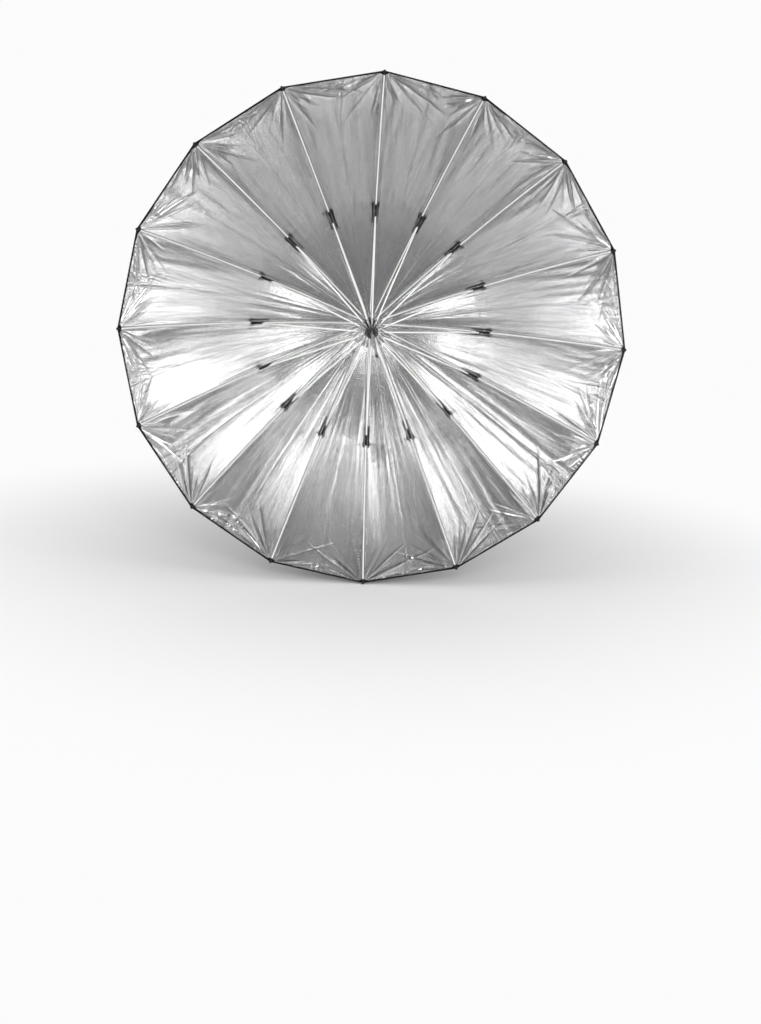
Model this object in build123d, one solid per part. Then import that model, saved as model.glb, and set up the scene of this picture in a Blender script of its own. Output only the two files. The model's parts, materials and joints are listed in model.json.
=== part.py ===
from build123d import *
import math
import os

# Deep sixteen-rib umbrella reflector for a studio flash, in millimetres.
#
# Frame: the origin is the centre of the shaft's free end. +Y runs along the shaft to the crown,
# +Z is up, and the bowl opens towards -Y. Arm 1 points up and the arms run clockwise as seen
# from the open side.
#
# Every arm lies in a plane through the shaft axis. Places in that plane are written (r, d):
# r is the distance from the shaft axis and d the distance from the rib hinges at the crown
# towards the open side. A heading of 0 degrees points straight out and 90 points to the opening.

# Whole object
ARM_COUNT = 16
ARM_STEP = 360 / ARM_COUNT
CROWN_Y = 900.0

# Shaft tube
SHAFT_R = 4.0
SHAFT_BORE_R = 3.2
SHAFT_PAST_CROWN = 16.0
STOP_GROOVE_WIDTH = 2.0
STOP_GROOVE_DEPTH = 0.3
STOP_GROOVE_GAP = 0.5

# Ribs: two circular bends that share a heading at the clip
HINGE_R = 14.0
RIB_ROD_R = 2.0
HEADING_AT_CROWN = 8.0
HEADING_AT_CLIP = 39.0
HEADING_AT_TIP = 59.5
INNER_CHORD = 358.0
OUTER_CHORD = 471.0
FLEX_GAP = 1.2

# Flat eyes that hang on the two wire rings
EYE_THICKNESS = 1.5
EYE_END_R = 3.0
EYE_HOLE_R = 0.7
FERRULE_R = 2.6
FERRULE_START = 9.0
FERRULE_END = 24.0
ROD_IN_FERRULE = 11.0
GLUE_GAP = 0.02

# Clip on the rib: a sleeve between two cheeks, whose lugs carry the stretcher
SLEEVE_R = 3.0
SLEEVE_LENGTH = 46.0
CLIP_MOUTH_SETBACK = 0.3
CHEEK_LENGTH = 68.0
CHEEK_INSIDE = 3.4
CHEEK_OUTSIDE = 1.2
CHEEK_GAP = 4.8
CLIP_WIDTH = 7.6
LUG_SETBACK = 14.0
LUG_END_R = 2.8
LUG_HEIGHT = 9.0
LUG_BASE = 18.0
RIVET_R = 1.2
RIVET_LENGTH = 8.4
RIVET_CLEARANCE = 0.05

# Knuckle on the stretcher's end, which turns between the clip's lugs
KNUCKLE_WIDTH = 4.6
KNUCKLE_HEIGHT = 5.6
KNUCKLE_END = 13.0
SOCKET_R = 2.6
SOCKET_END = 20.0

# Rib tip cap
TIP_R = 3.2
TIP_BALL_R = 4.0
TIP_LENGTH = 16.0
TIP_FLOOR = 2.0

# Notched discs of the crown and the runner
DISC_R = 18.0
DISC_HALF = 6.0
NOTCH_WIDTH = 1.9
NOTCH_BOTTOM_R = 10.5
WIRE_R = 0.6
WIRE_GROOVE = 1.4
WIRE_GROOVE_R = 13.3
COLLAR_R = 7.5

# Crown
CROWN_BORE_R = 4.02
CROWN_BOSS_END = 16.0
CROWN_PIN_D = 11.0
CROWN_PIN_R = 1.0
CROWN_PIN_HALF = 7.4

# Canopy
CANOPY_THICKNESS = 1.2
CANOPY_STANDOFF = 4.3
CANOPY_HOLE_R = 5.0
CANOPY_FLAT_R = 19.5
CANOPY_AT_CROWN = -6.6
CANOPY_ON_RIB = 60.0
CANOPY_SHORT_OF_TIP = 4.0
SEAM_HALF_GAP = 0.1

# Washer and cap behind the canopy
WASHER_R = 16.0
WASHER_HOLE_R = 4.1
WASHER_FRONT = -8.0
WASHER_THICKNESS = 1.0
CAP_FRONT = -9.2
CAP_R = 15.0
CAP_HEIGHT = 12.0
CAP_BORE_END = -16.5

# Runner
RUNNER_BORE_R = 4.06
RUNNER_BACK = 12.0
RUNNER_FRONT = 34.0
RUNNER_GRIP_R = 10.2
RUNNER_GRIP_LENGTH = 4.0

# Spring catch in the shaft, just in front of the open runner
CATCH_THICKNESS = 1.6
CATCH_GAP = 0.6
CATCH_LENGTH = 29.4
CATCH_NOSE_Z = 7.0
CATCH_HEEL_Z = 0.8
CATCH_RAMP_START = 12.0
CATCH_RAMP_Z = 3.6
CATCH_EYE_R = 2.2
CATCH_PIN_R = 0.8
CATCH_PIN_HALF = 3.9
CATCH_PIN_CLEARANCE = 0.06
CATCH_SLOT_WIDTH = 2.0
CATCH_SLOT_START = 5.0
CATCH_SLOT_END = 30.8

# Plug in the shaft's free end
PLUG_HEAD_R = 3.6
PLUG_HEAD_LENGTH = 2.0
PLUG_STEM_R = 3.18
PLUG_STEM_LENGTH = 10.0

CUT_OVERRUN = 1.0
TANGENTIAL = Vector(1, 0, 0)


def spot(r, d):
    """A place in arm 1's plane, in the object's frame."""
    return Vector(0, CROWN_Y - d, r)


def heading_vector(heading):
    """The direction of a heading in arm 1's plane."""
    angle = math.radians(heading)
    return Vector(0, -math.sin(angle), math.cos(angle))


def arm_plane(place, heading):
    """Local x runs along the heading, y towards the bowl's inside and z across the arm."""
    return Plane(origin=spot(*place), x_dir=heading_vector(heading), z_dir=TANGENTIAL)


class Bend:
    """A circular stretch of a rib's centre line, curving towards the inside of the bowl."""

    def __init__(self, start, chord, first_heading, last_heading):
        turn = last_heading - first_heading
        self.start = start
        self.first_heading = first_heading
        self.radius = chord / (2 * math.sin(math.radians(turn / 2)))
        self.length = self.radius * math.radians(turn)

    def heading(self, along):
        """The heading after so many millimetres of rod."""
        return self.first_heading + math.degrees(along / self.radius)

    def point(self, along, outside=0.0):
        """The (r, d) place after so many millimetres of rod, moved to the bend's outer side."""
        first = math.radians(self.first_heading)
        now = math.radians(self.heading(along))
        r = self.start[0] + self.radius * (math.sin(now) - math.sin(first))
        d = self.start[1] + self.radius * (math.cos(first) - math.cos(now))
        return r + outside * math.sin(now), d - outside * math.cos(now)

    def bar(self, radius, start, end):
        """A round bar that follows the bend from start to end."""
        section = Plane(
            origin=spot(*self.point(start)),
            x_dir=TANGENTIAL,
            z_dir=heading_vector(self.heading(start)),
        )
        centre = spot(*self.point(start, -self.radius))
        turn = self.heading(end) - self.heading(start)
        return revolve(section * Circle(radius), Axis(centre, TANGENTIAL), turn)

    def edge(self, start, end, outside):
        """The arc that runs beside the bend, from start to end."""
        places = [self.point(at, outside) for at in (start, (start + end) / 2, end)]
        return ThreePointArc(*[spot(*place) for place in places])


def straight_bar(plane, radius, start, end):
    """A round bar along the plane's local x, from start to end."""
    section = Plane(origin=plane.from_local_coords((start, 0, 0)), x_dir=plane.z_dir, z_dir=plane.x_dir)
    return extrude(section * Circle(radius), end - start)


def cross_plate(plane, sketch, thickness):
    """A flat plate lying in the arm's plane, centred on it."""
    return extrude(plane * sketch, thickness / 2, both=True)


CROWN_HINGE = (HINGE_R, 0.0)
INNER_BEND = Bend(CROWN_HINGE, INNER_CHORD, HEADING_AT_CROWN, HEADING_AT_CLIP)
CLIP_MOUTH = INNER_BEND.point(INNER_BEND.length)
OUTER_BEND = Bend(CLIP_MOUTH, OUTER_CHORD, HEADING_AT_CLIP, HEADING_AT_TIP)
LUG_FOOT = INNER_BEND.length - LUG_SETBACK
CLIP_PIVOT = INNER_BEND.point(LUG_FOOT, -LUG_HEIGHT)

# The stretcher is as long as the line from the crown hinge to the clip pivot, so the runner
# travels exactly along the shaft and its hinge is twice as far forward as the pivot.
RUNNER_HINGE = (HINGE_R, 2 * CLIP_PIVOT[1])
STRETCHER_LENGTH = math.dist(RUNNER_HINGE, CLIP_PIVOT)
STRETCHER_HEADING = math.degrees(
    math.atan2(CLIP_PIVOT[1] - RUNNER_HINGE[1], CLIP_PIVOT[0] - RUNNER_HINGE[0])
)
STRETCHER_PLANE = arm_plane(RUNNER_HINGE, STRETCHER_HEADING)
KNUCKLE_PLANE = arm_plane(CLIP_PIVOT, STRETCHER_HEADING + 180)

# Closed, the line from the crown hinge to the clip mouth stands this far off the shaft axis.
CLOSED_OFF_AXIS = 2.5
CHORD_HEADING = (HEADING_AT_CROWN + HEADING_AT_CLIP) / 2
FOLD = 90 - CLOSED_OFF_AXIS - CHORD_HEADING
PIVOT_HEADING = -STRETCHER_HEADING
RUNNER_CLOSED_D = 2 * STRETCHER_LENGTH * math.sin(math.radians(PIVOT_HEADING + FOLD))
RUNNER_FACE_OPEN_Y = CROWN_Y - RUNNER_HINGE[1] - RUNNER_FRONT
RUNNER_FACE_CLOSED_Y = CROWN_Y - RUNNER_CLOSED_D - RUNNER_FRONT
CATCH_PIVOT_Y = RUNNER_FACE_OPEN_Y - CATCH_GAP - CATCH_LENGTH


def eye_plate(plane):
    """The flat end with a hole for the wire ring."""
    neck_length = FERRULE_START + CUT_OVERRUN
    outline = Circle(EYE_END_R) + Pos(neck_length / 2, 0) * Rectangle(neck_length, 2 * EYE_END_R)
    outline -= Circle(EYE_HOLE_R)
    plate = cross_plate(plane, outline, EYE_THICKNESS)
    return plate & straight_bar(plane, EYE_END_R, -EYE_END_R, neck_length)


def rib_eye():
    """Eye and ferrule at the crown end of a rib."""
    ferrule = INNER_BEND.bar(FERRULE_R, FERRULE_START, FERRULE_END)
    ferrule -= INNER_BEND.bar(RIB_ROD_R + GLUE_GAP, ROD_IN_FERRULE, FERRULE_END + CUT_OVERRUN)
    plate = eye_plate(arm_plane(CROWN_HINGE, HEADING_AT_CROWN))
    return ferrule + plate


def clip_cheeks():
    """Two long cheeks beside the rib, each with a raised lug for the stretcher's rivet."""
    end = INNER_BEND.length - CLIP_MOUTH_SETBACK
    start = end - CHEEK_LENGTH
    inside = INNER_BEND.edge(start, end, -CHEEK_INSIDE)
    outside = INNER_BEND.edge(start, end, CHEEK_OUTSIDE)
    ends = [Line(inside @ at, outside @ at) for at in (0, 1)]
    cheek = extrude(make_face([inside, outside] + ends), CLIP_WIDTH / 2, both=True)
    plane = arm_plane(INNER_BEND.point(LUG_FOOT), INNER_BEND.heading(LUG_FOOT))
    base = Rectangle(LUG_BASE, 2 * CHEEK_INSIDE)
    lug = make_hull((base + Pos(0, LUG_HEIGHT) * Circle(LUG_END_R)).edges())
    cheek += cross_plate(plane, lug & Pos(0, LUG_HEIGHT) * Rectangle(LUG_BASE, 2 * LUG_HEIGHT), CLIP_WIDTH)
    gap = Pos(LUG_SETBACK - CHEEK_LENGTH / 2, 0) * Rectangle(2 * CHEEK_LENGTH, 4 * LUG_HEIGHT)
    cheek -= cross_plate(plane, gap, CHEEK_GAP)
    return cheek - cross_plate(plane, Pos(0, LUG_HEIGHT) * Circle(RIVET_R + RIVET_CLEARANCE), 2 * CLIP_WIDTH)


def rib_clip():
    """Sleeve round the rib, joined to its cheeks."""
    end = INNER_BEND.length - CLIP_MOUTH_SETBACK
    start = end - SLEEVE_LENGTH
    sleeve = INNER_BEND.bar(SLEEVE_R, start, end)
    bore = INNER_BEND.bar(RIB_ROD_R + GLUE_GAP, start - CUT_OVERRUN, end + CUT_OVERRUN)
    return sleeve + clip_cheeks() - bore


def rib_inner():
    """The inner length of a rib with its eye and clip."""
    rod = INNER_BEND.bar(RIB_ROD_R, ROD_IN_FERRULE, INNER_BEND.length - FLEX_GAP / 2)
    return [rod, rib_eye(), rib_clip()]


def rib_outer():
    """The outer length of a rib with its tip cap."""
    end = OUTER_BEND.length
    bore_end = end - TIP_FLOOR
    rod = OUTER_BEND.bar(RIB_ROD_R, FLEX_GAP / 2, bore_end)
    cap = OUTER_BEND.bar(TIP_R, end - TIP_LENGTH, end)
    cap += Pos(*spot(*OUTER_BEND.point(end))) * Sphere(TIP_BALL_R)
    cap -= OUTER_BEND.bar(RIB_ROD_R + GLUE_GAP, end - TIP_LENGTH - CUT_OVERRUN, bore_end)
    return [rod, cap]


def stretcher_eye():
    """Eye and ferrule at the runner end of a stretcher."""
    ferrule = straight_bar(STRETCHER_PLANE, FERRULE_R, FERRULE_START, FERRULE_END)
    bore_r = RIB_ROD_R + GLUE_GAP
    ferrule -= straight_bar(STRETCHER_PLANE, bore_r, ROD_IN_FERRULE, FERRULE_END + CUT_OVERRUN)
    return ferrule + eye_plate(STRETCHER_PLANE)


def stretcher_knuckle():
    """Block that turns between the clip's lugs, with a socket for the rod."""
    outline = Circle(KNUCKLE_HEIGHT / 2)
    outline += Pos(KNUCKLE_END / 2, 0) * Rectangle(KNUCKLE_END, KNUCKLE_HEIGHT)
    body = cross_plate(KNUCKLE_PLANE, outline - Circle(RIVET_R), KNUCKLE_WIDTH)
    body += straight_bar(KNUCKLE_PLANE, SOCKET_R, KNUCKLE_END - CUT_OVERRUN, SOCKET_END)
    bore_r = RIB_ROD_R + GLUE_GAP
    return body - straight_bar(KNUCKLE_PLANE, bore_r, KNUCKLE_END, SOCKET_END + CUT_OVERRUN)


def stretcher():
    """A straight strut from the runner to the clip, with its rivet."""
    rod_end = STRETCHER_LENGTH - KNUCKLE_END
    rod = straight_bar(STRETCHER_PLANE, RIB_ROD_R, ROD_IN_FERRULE, rod_end)
    rivet = cross_plate(KNUCKLE_PLANE, Circle(RIVET_R), RIVET_LENGTH)
    return [rod, stretcher_eye(), stretcher_knuckle(), rivet]


def ring_about_shaft(inner_r, outer_r, near_d, far_d):
    """A ring round the shaft axis between two places along it."""
    section = Plane(origin=spot(0, far_d), x_dir=TANGENTIAL, z_dir=(0, 1, 0))
    outline = Circle(outer_r)
    if inner_r:
        outline -= Circle(inner_r)
    return extrude(section * outline, far_d - near_d)


def around(shape):
    """One copy of an arm's shape for every arm."""
    return [shape.rotate(Axis.Y, ARM_STEP * number) for number in range(ARM_COUNT)]


def notched_disc(centre_d):
    """A disc with one notch for each arm and a groove for the wire ring."""
    disc = ring_about_shaft(0, DISC_R, centre_d - DISC_HALF, centre_d + DISC_HALF)
    depth = DISC_R - NOTCH_BOTTOM_R + CUT_OVERRUN
    middle = spot(NOTCH_BOTTOM_R + depth / 2, centre_d)
    notch = Pos(*middle) * Box(NOTCH_WIDTH, 2 * DISC_HALF + CUT_OVERRUN, depth)
    disc -= around(notch)
    half = WIRE_GROOVE / 2
    return disc - ring_about_shaft(WIRE_GROOVE_R, DISC_R + CUT_OVERRUN, centre_d - half, centre_d + half)


def wire_ring(centre_d):
    """The wire that every eye of a disc hangs on."""
    plane = Plane(origin=spot(0, centre_d), x_dir=TANGENTIAL, z_dir=(0, 1, 0))
    return plane * Torus(HINGE_R, WIRE_R)


def cross_pin(y, radius, half_length):
    """A pin through the shaft, along X."""
    plane = Plane(origin=(0, y, 0), x_dir=(0, 1, 0), z_dir=TANGENTIAL)
    return extrude(plane * Circle(radius), half_length, both=True)


def crown():
    """Notched hub fixed on the shaft, with a boss for its cross pin."""
    body = notched_disc(0) + ring_about_shaft(0, COLLAR_R, 0, CROWN_BOSS_END)
    body -= ring_about_shaft(0, CROWN_BORE_R, -DISC_HALF - CUT_OVERRUN, CROWN_BOSS_END + CUT_OVERRUN)
    return body - cross_pin(CROWN_Y - CROWN_PIN_D, CROWN_PIN_R + GLUE_GAP, DISC_R)


def runner():
    """Sliding hub with a finger flange at its front end."""
    hinge_d = RUNNER_HINGE[1]
    front_d = hinge_d + RUNNER_FRONT
    back_d = hinge_d - RUNNER_BACK
    body = notched_disc(hinge_d) + ring_about_shaft(0, COLLAR_R, back_d, front_d)
    grip = ring_about_shaft(0, RUNNER_GRIP_R, front_d - RUNNER_GRIP_LENGTH, front_d)
    grip = fillet(grip.edges(), RUNNER_GRIP_LENGTH / 4)
    bore = ring_about_shaft(0, RUNNER_BORE_R, back_d - CUT_OVERRUN, front_d + CUT_OVERRUN)
    return body + grip - bore


def shaft():
    """Steel tube with the catch's slot, two cross holes and the runner's stop groove."""
    end_y = CROWN_Y + SHAFT_PAST_CROWN
    outline = Circle(SHAFT_R) - Circle(SHAFT_BORE_R)
    facing = Plane(origin=(0, 0, 0), x_dir=TANGENTIAL, z_dir=(0, 1, 0))
    tube = extrude(facing * outline, end_y)
    slot_length = CATCH_SLOT_END - CATCH_SLOT_START
    slot_y = CATCH_PIVOT_Y + CATCH_SLOT_START + slot_length / 2
    tube -= Pos(0, slot_y, SHAFT_R) * Box(CATCH_SLOT_WIDTH, slot_length, SHAFT_R)
    tube -= cross_pin(CROWN_Y - CROWN_PIN_D, CROWN_PIN_R + GLUE_GAP, SHAFT_R + CUT_OVERRUN)
    tube -= cross_pin(CATCH_PIVOT_Y, CATCH_PIN_R + GLUE_GAP, SHAFT_R + CUT_OVERRUN)
    groove_end_d = CROWN_Y - (RUNNER_FACE_CLOSED_Y - STOP_GROOVE_GAP)
    groove_r = SHAFT_R - STOP_GROOVE_DEPTH
    outer_r = SHAFT_R + CUT_OVERRUN
    return tube - ring_about_shaft(groove_r, outer_r, groove_end_d, groove_end_d + STOP_GROOVE_WIDTH)


def shaft_end_plug():
    """Plug that closes the tube's free end."""
    facing = Plane(origin=(0, 0, 0), x_dir=TANGENTIAL, z_dir=(0, 1, 0))
    head = extrude(facing * Circle(PLUG_HEAD_R), -PLUG_HEAD_LENGTH)
    head = fillet(head.faces().sort_by(Axis.Y)[0].edges(), PLUG_HEAD_LENGTH / 2)
    return head + extrude(facing * Circle(PLUG_STEM_R), PLUG_STEM_LENGTH)


def runner_catch():
    """Flat catch whose nose stops the open runner from sliding forward."""
    # local x runs to the crown and local y upwards
    plane = Plane(origin=(0, CATCH_PIVOT_Y, 0), x_dir=(0, 1, 0), z_dir=TANGENTIAL)
    eye = Circle(CATCH_EYE_R)
    blade = Polygon(
        (0, CATCH_EYE_R),
        (CATCH_RAMP_START, CATCH_RAMP_Z),
        (CATCH_LENGTH - CATCH_NOSE_Z / 4, CATCH_NOSE_Z),
        (CATCH_LENGTH, CATCH_NOSE_Z),
        (CATCH_LENGTH, CATCH_HEEL_Z),
        (0, -CATCH_EYE_R),
        align=None,
    )
    outline = eye + blade - Circle(CATCH_PIN_R + CATCH_PIN_CLEARANCE)
    return cross_plate(plane, outline, CATCH_THICKNESS)


def canopy_profile():
    """The canopy's section over one rib: flat under the washer, then along the rib."""

    def side(outside, crown_d):
        hole = spot(CANOPY_HOLE_R, crown_d)
        flat_end = spot(CANOPY_FLAT_R, crown_d)
        on_rib = spot(*INNER_BEND.point(CANOPY_ON_RIB, outside))
        leaving = heading_vector(0)
        arriving = heading_vector(INNER_BEND.heading(CANOPY_ON_RIB))
        return [
            Line(hole, flat_end),
            Spline(flat_end, on_rib, tangents=(leaving, arriving)),
            INNER_BEND.edge(CANOPY_ON_RIB, INNER_BEND.length, outside),
            OUTER_BEND.edge(0, OUTER_BEND.length - CANOPY_SHORT_OF_TIP, outside),
        ]

    inside = side(CANOPY_STANDOFF, CANOPY_AT_CROWN)
    outside = side(CANOPY_STANDOFF + CANOPY_THICKNESS, CANOPY_AT_CROWN - CANOPY_THICKNESS)
    hole_edge = Line(inside[0] @ 0, outside[0] @ 0)
    hem_edge = Line(inside[-1] @ 1, outside[-1] @ 1)
    return make_face(inside + outside + [hole_edge, hem_edge])


def canopy():
    """Sixteen sewn gores, each stretched straight from one rib to the next."""
    profile = canopy_profile()
    near = Pos(SEAM_HALF_GAP, 0, 0) * profile
    far = (Pos(-SEAM_HALF_GAP, 0, 0) * profile).rotate(Axis.Y, ARM_STEP)
    return around(loft([near, far], ruled=True))


def canopy_washer():
    """Washer that spreads the cap's pressure on the fabric."""
    return ring_about_shaft(WASHER_HOLE_R, WASHER_R, WASHER_FRONT - WASHER_THICKNESS, WASHER_FRONT)


def crown_cap():
    """Domed cap on the shaft's end, cut from a ball."""
    ball_r = (CAP_R**2 + CAP_HEIGHT**2) / (2 * CAP_HEIGHT)
    ball = Pos(*spot(0, CAP_FRONT - CAP_HEIGHT + ball_r)) * Sphere(ball_r)
    dome = ball & ring_about_shaft(0, 2 * CAP_R, CAP_FRONT - 2 * CAP_HEIGHT, CAP_FRONT)
    return dome - ring_about_shaft(0, CROWN_BORE_R, CAP_BORE_END, CAP_FRONT + CUT_OVERRUN)


def solids_of(shapes):
    """Every solid in a list of shapes."""
    return [solid for shape in shapes for solid in shape.solids()]


def write(node, shapes):
    """Write one node's solids to its STEP file."""
    export_step(Compound(children=solids_of(shapes)), f"parts/{node}.step")


def write_arms():
    """Write the three pieces of every arm."""
    for name, pieces in (("rib_inner", rib_inner()), ("rib_outer", rib_outer()), ("stretcher", stretcher())):
        for number in range(ARM_COUNT):
            turned = [piece.rotate(Axis.Y, ARM_STEP * number) for piece in pieces]
            write(f"{name}_{number + 1:02d}", turned)


def main():
    os.makedirs("parts", exist_ok=True)
    write_arms()
    write("shaft", [shaft()])
    write("shaft_end_plug", [shaft_end_plug()])
    write("crown", [crown()])
    write("crown_wire", [wire_ring(0)])
    write("crown_pin", [cross_pin(CROWN_Y - CROWN_PIN_D, CROWN_PIN_R, CROWN_PIN_HALF)])
    write("crown_cap", [crown_cap()])
    write("canopy_washer", [canopy_washer()])
    write("canopy", canopy())
    write("runner", [runner()])
    write("runner_wire", [wire_ring(RUNNER_HINGE[1])])
    write("runner_catch", [runner_catch()])
    write("catch_pin", [cross_pin(CATCH_PIVOT_Y, CATCH_PIN_R, CATCH_PIN_HALF)])


main()
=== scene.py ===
"""Looks of the umbrella reflector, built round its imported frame. Metres, in the frame's own axes."""

import json
import math

import bpy
import numpy as np
from mathutils import Matrix, Vector


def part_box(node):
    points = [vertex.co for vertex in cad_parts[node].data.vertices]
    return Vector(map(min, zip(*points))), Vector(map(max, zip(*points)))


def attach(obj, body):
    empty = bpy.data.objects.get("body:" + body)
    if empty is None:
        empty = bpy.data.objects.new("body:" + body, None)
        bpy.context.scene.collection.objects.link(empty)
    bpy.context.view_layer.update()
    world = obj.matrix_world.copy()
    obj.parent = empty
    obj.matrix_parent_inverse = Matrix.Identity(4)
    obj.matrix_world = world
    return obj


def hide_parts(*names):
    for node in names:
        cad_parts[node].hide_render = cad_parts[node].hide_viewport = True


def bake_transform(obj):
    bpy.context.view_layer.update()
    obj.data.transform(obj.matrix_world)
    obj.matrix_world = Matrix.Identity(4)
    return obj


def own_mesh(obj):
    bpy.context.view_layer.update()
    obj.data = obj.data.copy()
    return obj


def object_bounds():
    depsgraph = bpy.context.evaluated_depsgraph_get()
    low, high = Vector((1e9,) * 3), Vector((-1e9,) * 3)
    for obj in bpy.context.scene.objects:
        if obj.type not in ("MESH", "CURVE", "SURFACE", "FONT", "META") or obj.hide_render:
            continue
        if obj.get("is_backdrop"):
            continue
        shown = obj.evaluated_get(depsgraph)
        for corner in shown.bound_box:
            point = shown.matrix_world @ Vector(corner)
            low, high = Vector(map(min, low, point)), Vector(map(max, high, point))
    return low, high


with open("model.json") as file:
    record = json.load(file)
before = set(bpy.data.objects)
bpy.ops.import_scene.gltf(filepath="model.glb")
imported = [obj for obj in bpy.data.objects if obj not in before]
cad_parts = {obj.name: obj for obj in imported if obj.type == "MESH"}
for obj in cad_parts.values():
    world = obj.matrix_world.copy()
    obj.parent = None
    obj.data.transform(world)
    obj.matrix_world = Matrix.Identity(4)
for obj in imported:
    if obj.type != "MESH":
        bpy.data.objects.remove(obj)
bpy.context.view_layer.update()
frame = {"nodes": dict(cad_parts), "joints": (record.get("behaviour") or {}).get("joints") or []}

MM = 0.001
JOINTS = {joint["name"]: joint for joint in frame["joints"]}
ARM_COUNT = sum(1 for name in JOINTS if name.endswith("_fold"))
HALF_GORE = math.pi / ARM_COUNT


# Places on an arm, as (distance from the shaft's centre line, depth in front of the crown hinges)


def arm_point(joint_name):
    """Where a joint of arm 01 sits."""
    place = JOINTS[joint_name]["pos_m"]
    return np.array([place[2], CROWN_Y - place[1]])


CROWN_Y = JOINTS["rib_01_fold"]["pos_m"][1]
CROWN_HINGE = arm_point("rib_01_fold")
CLIP_MOUTH = arm_point("rib_01_flex")
CLIP_PIVOT = arm_point("stretcher_01_swing")
RUNNER_HINGE = arm_point("runner_travel")

TIP_BALL_R = 4 * MM
OUTER_LOW, OUTER_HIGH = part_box("rib_outer_01")
RIB_TIP = np.array([OUTER_HIGH.z - TIP_BALL_R, CROWN_Y - (OUTER_LOW.y + TIP_BALL_R)])
HEADING_AT_CROWN = math.radians(8)

ROD_R = 2.0 * MM
EYE_R = 3 * MM

# The fabric, measured along a rib from its crown hinge
CLOTH_STANDOFF = 4.3 * MM
CLOTH_THICKNESS = 0.5 * MM
CLOTH_START = -9 * MM
CLOTH_FLAT_END = 5.5 * MM
CLOTH_ON_RIB = 60 * MM
CLOTH_FLAT_D = -6.9 * MM
CLOTH_SHORT_OF_TIP = 4 * MM
CROWN_PATCH_END = 16 * MM
INNER_CUTS = [60 * MM, 130 * MM, 250 * MM]
OUTER_CUTS = [570 * MM]
BAND_HALF = 4.5 * MM
SEAM_HALF = 3.6 * MM
STITCH_HALF = 2.7 * MM
STITCH_LENGTH = 1.9 * MM
HEM_STITCHES = 7 * MM


class Bend:
    """An arc in the plane of an arm, set by its ends and the heading it starts with."""

    def __init__(self, start, end, heading):
        chord = end - start
        self.start = start
        self.heading = heading
        self.turn = 2 * (math.atan2(chord[1], chord[0]) - heading)
        self.radius = np.linalg.norm(chord) / (2 * math.sin(self.turn / 2))
        self.length = self.radius * self.turn
        self.end_heading = heading + self.turn

    def at(self, s):
        """Points and headings at distances s along the arc."""
        heading = self.heading + s / self.radius
        r = self.start[0] + self.radius * (np.sin(heading) - math.sin(self.heading))
        d = self.start[1] - self.radius * (np.cos(heading) - math.cos(self.heading))
        return r, d, heading


INNER_BEND = Bend(CROWN_HINGE, CLIP_MOUTH, HEADING_AT_CROWN)
OUTER_BEND = Bend(CLIP_MOUTH, RIB_TIP, INNER_BEND.end_heading)
FLEX_S = INNER_BEND.length
RIB_END_S = FLEX_S + OUTER_BEND.length
CLOTH_END = RIB_END_S - CLOTH_SHORT_OF_TIP


def rib_line(s):
    """Points and headings on the rib's centre line at distances s from the crown hinge."""
    s = np.asarray(s, float)
    inner = INNER_BEND.at(s)
    outer = OUTER_BEND.at(s - FLEX_S)
    return [np.where(s <= FLEX_S, a, b) for a, b in zip(inner, outer)]


def smooth(x):
    """0 below 0, 1 above 1, and a smooth step between."""
    x = np.clip(x, 0, 1)
    return x * x * (3 - 2 * x)


def arm_angle(arm):
    """The angle of an arm round the shaft; arm 0 points up."""
    return 2 * HALF_GORE * arm


def to_world(points, arm):
    """Arm coordinates (r, d, t) to the frame's, for one arm. t points sideways along the fold axis."""
    points = np.asarray(points, float)
    r, d, t = points[..., 0], points[..., 1], points[..., 2]
    sin, cos = math.sin(arm_angle(arm)), math.cos(arm_angle(arm))
    return np.stack([r * sin + t * cos, CROWN_Y - d, r * cos - t * sin], axis=-1)


# Node materials


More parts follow.
